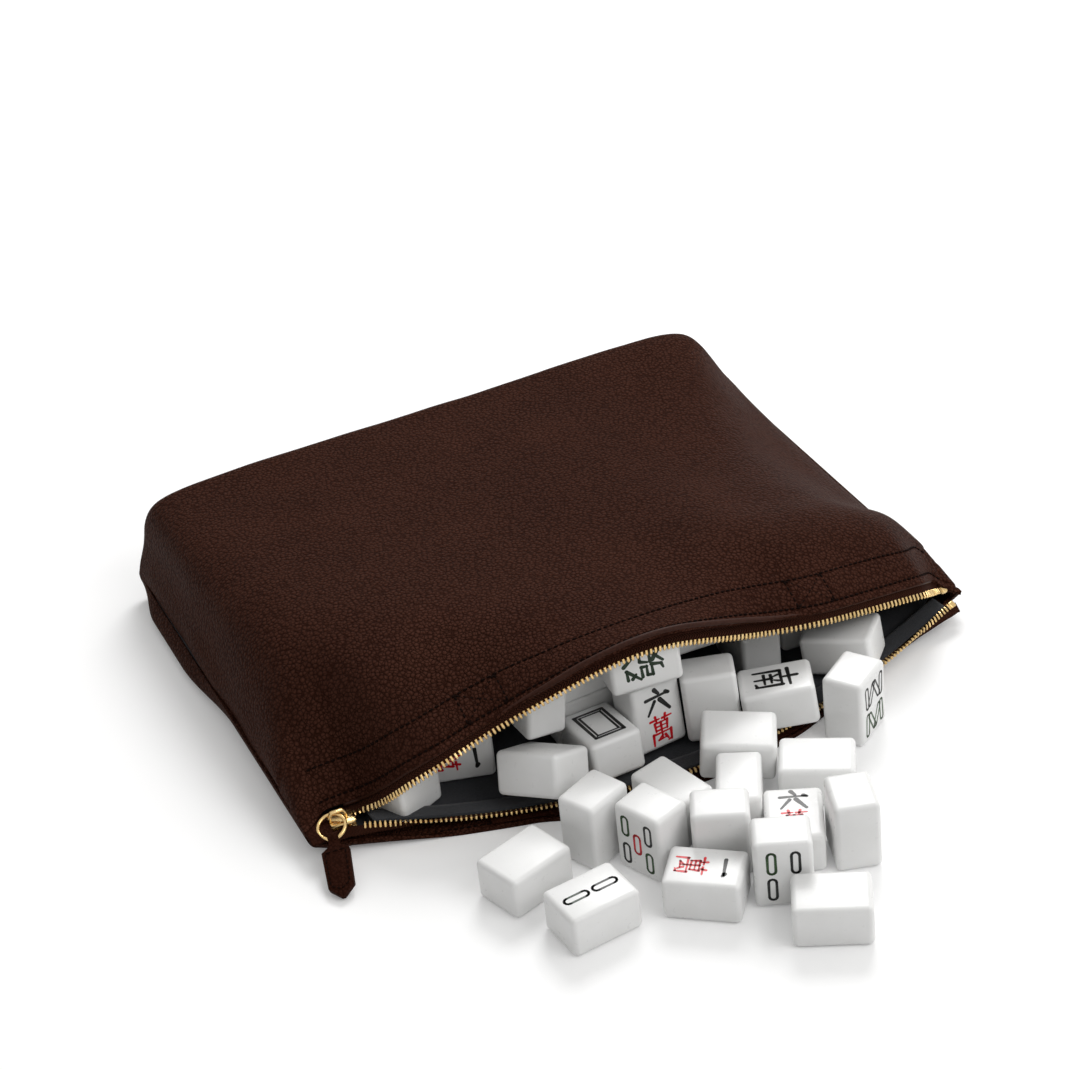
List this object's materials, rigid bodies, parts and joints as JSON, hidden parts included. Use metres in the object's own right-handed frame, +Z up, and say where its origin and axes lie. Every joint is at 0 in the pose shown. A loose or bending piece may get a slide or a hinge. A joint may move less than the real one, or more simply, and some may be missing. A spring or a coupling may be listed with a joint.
{
  "type": "mahjong case",
  "caption": "Soft leather zip case lying open on its back panel, with mahjong tiles in its mouth and loose on the table in front of it.",
  "frame": {"origin": "middle of the back panel's resting face, midway between the side seams and between the zip ends and the bottom face", "axes": "+X along the zip from the slider to the other end, +Y from the mouth to the bottom face of the case, +Z up from the table"},
  "size_m": [0.3241, 0.393, 0.0681],
  "materials": {
    "leather": "dark brown pebbled leather, satin",
    "lining": "charcoal grey lining cloth",
    "tape": "dark brown woven zip tape",
    "brass": "polished gold-coloured metal",
    "tile": "glossy white tile"
  },
  "bodies": {
    "case": {"front_panel": "leather", "back_panel": "leather", "front_lining": "lining", "back_lining": "lining", "front_grip_strap": "leather", "back_grip_strap": "leather", "front_zip_tape": "tape", "back_zip_tape": "tape", "front_zip_teeth": "brass", "back_zip_teeth": "brass", "zip_top_stops": "brass", "zip_bottom_stop": "brass", "tile_south_wind": "tile", "tile_lean_plain": "tile", "tile_lean_six_character": "tile", "tile_green_dragon": "tile", "tile_white_dragon": "tile", "tile_mouth_left": "tile", "tile_mouth_one_character": "tile", "tile_mouth_tilted": "tile", "tile_mouth_upper": "tile", "tile_mouth_lower": "tile", "tile_mouth_top": "tile", "tile_mouth_back": "tile", "tile_mouth_side": "tile", "tile_mouth_last": "tile", "tile_mouth_right": "tile"},
    "slider": {"slider_body": "brass", "slider_bridge": "brass"},
    "ring": {"pull_ring": "brass"},
    "tab": {"pull_tab": "leather"},
    "tile_two_bamboo": {"tile_two_bamboo": "tile"},
    "tile_one_character": {"tile_one_character": "tile"},
    "tile_five_bamboo": {"tile_five_bamboo": "tile"},
    "tile_three_bamboo": {"tile_three_bamboo": "tile"},
    "tile_six_character": {"tile_six_character": "tile"},
    "tile_eight_bamboo": {"tile_eight_bamboo": "tile"},
    "tile_front_left": {"tile_front_left": "tile"},
    "tile_front_right": {"tile_front_right": "tile"},
    "tile_stand_left": {"tile_stand_left": "tile"},
    "tile_stand_right": {"tile_stand_right": "tile"},
    "tile_stand_middle": {"tile_stand_middle": "tile"},
    "tile_edge_left": {"tile_edge_left": "tile"},
    "tile_edge_middle": {"tile_edge_middle": "tile"},
    "tile_flat_right": {"tile_flat_right": "tile"},
    "tile_on_lip": {"tile_on_lip": "tile"}
  },
  "joints": [
    {"name": "slider_slide", "type": "slide", "parent": "case", "child": "slider", "axis": [1, 0, 0], "range_m": [0, 0.005]},
    {"name": "ring_hinge", "type": "hinge", "parent": "slider", "child": "ring", "pos_m": [-0.1445, -0.1115, 0.0149], "axis": [-0.6626, 0.749, 0], "range_deg": [0, 90]},
    {"name": "tab_hinge", "type": "hinge", "parent": "ring", "child": "tab", "pos_m": [-0.15014, -0.12068, 0.01074], "axis": [-0.9278, 0.3176, -0.1957], "range_deg": [0, 60]},
    {"name": "lift_two_bamboo", "type": "slide", "parent": "case", "child": "tile_two_bamboo", "axis": [0, 0, 1], "range_m": [0, 0.06]},
    {"name": "lift_one_character", "type": "slide", "parent": "case", "child": "tile_one_character", "axis": [0, 0, 1], "range_m": [0, 0.06]},
    {"name": "lift_five_bamboo", "type": "slide", "parent": "case", "child": "tile_five_bamboo", "axis": [0, 0, 1], "range_m": [0, 0.06]},
    {"name": "lift_three_bamboo", "type": "slide", "parent": "case", "child": "tile_three_bamboo", "axis": [0, 0, 1], "range_m": [0, 0.06]},
    {"name": "lift_six_character", "type": "slide", "parent": "case", "child": "tile_six_character", "axis": [0, 0, 1], "range_m": [0, 0.06]},
    {"name": "lift_eight_bamboo", "type": "slide", "parent": "case", "child": "tile_eight_bamboo", "axis": [0, 0, 1], "range_m": [0, 0.06]},
    {"name": "lift_front_left", "type": "slide", "parent": "case", "child": "tile_front_left", "axis": [0, 0, 1], "range_m": [0, 0.06]},
    {"name": "lift_front_right", "type": "slide", "parent": "case", "child": "tile_front_right", "axis": [0, 0, 1], "range_m": [0, 0.06]},
    {"name": "lift_stand_left", "type": "slide", "parent": "case", "child": "tile_stand_left", "axis": [0, 0, 1], "range_m": [0, 0.06]},
    {"name": "lift_stand_right", "type": "slide", "parent": "case", "child": "tile_stand_right", "axis": [0, 0, 1], "range_m": [0, 0.06]},
    {"name": "lift_stand_middle", "type": "slide", "parent": "case", "child": "tile_stand_middle", "axis": [0, 0, 1], "range_m": [0, 0.06]},
    {"name": "lift_edge_left", "type": "slide", "parent": "case", "child": "tile_edge_left", "axis": [0, 0, 1], "range_m": [0, 0.06]},
    {"name": "lift_edge_middle", "type": "slide", "parent": "case", "child": "tile_edge_middle", "axis": [0, 0, 1], "range_m": [0, 0.06]},
    {"name": "lift_flat_right", "type": "slide", "parent": "case", "child": "tile_flat_right", "axis": [0, 0, 1], "range_m": [0, 0.06]},
    {"name": "lift_on_lip", "type": "slide", "parent": "case", "child": "tile_on_lip", "axis": [0, 0, 1], "range_m": [0, 0.06]}
  ]
}
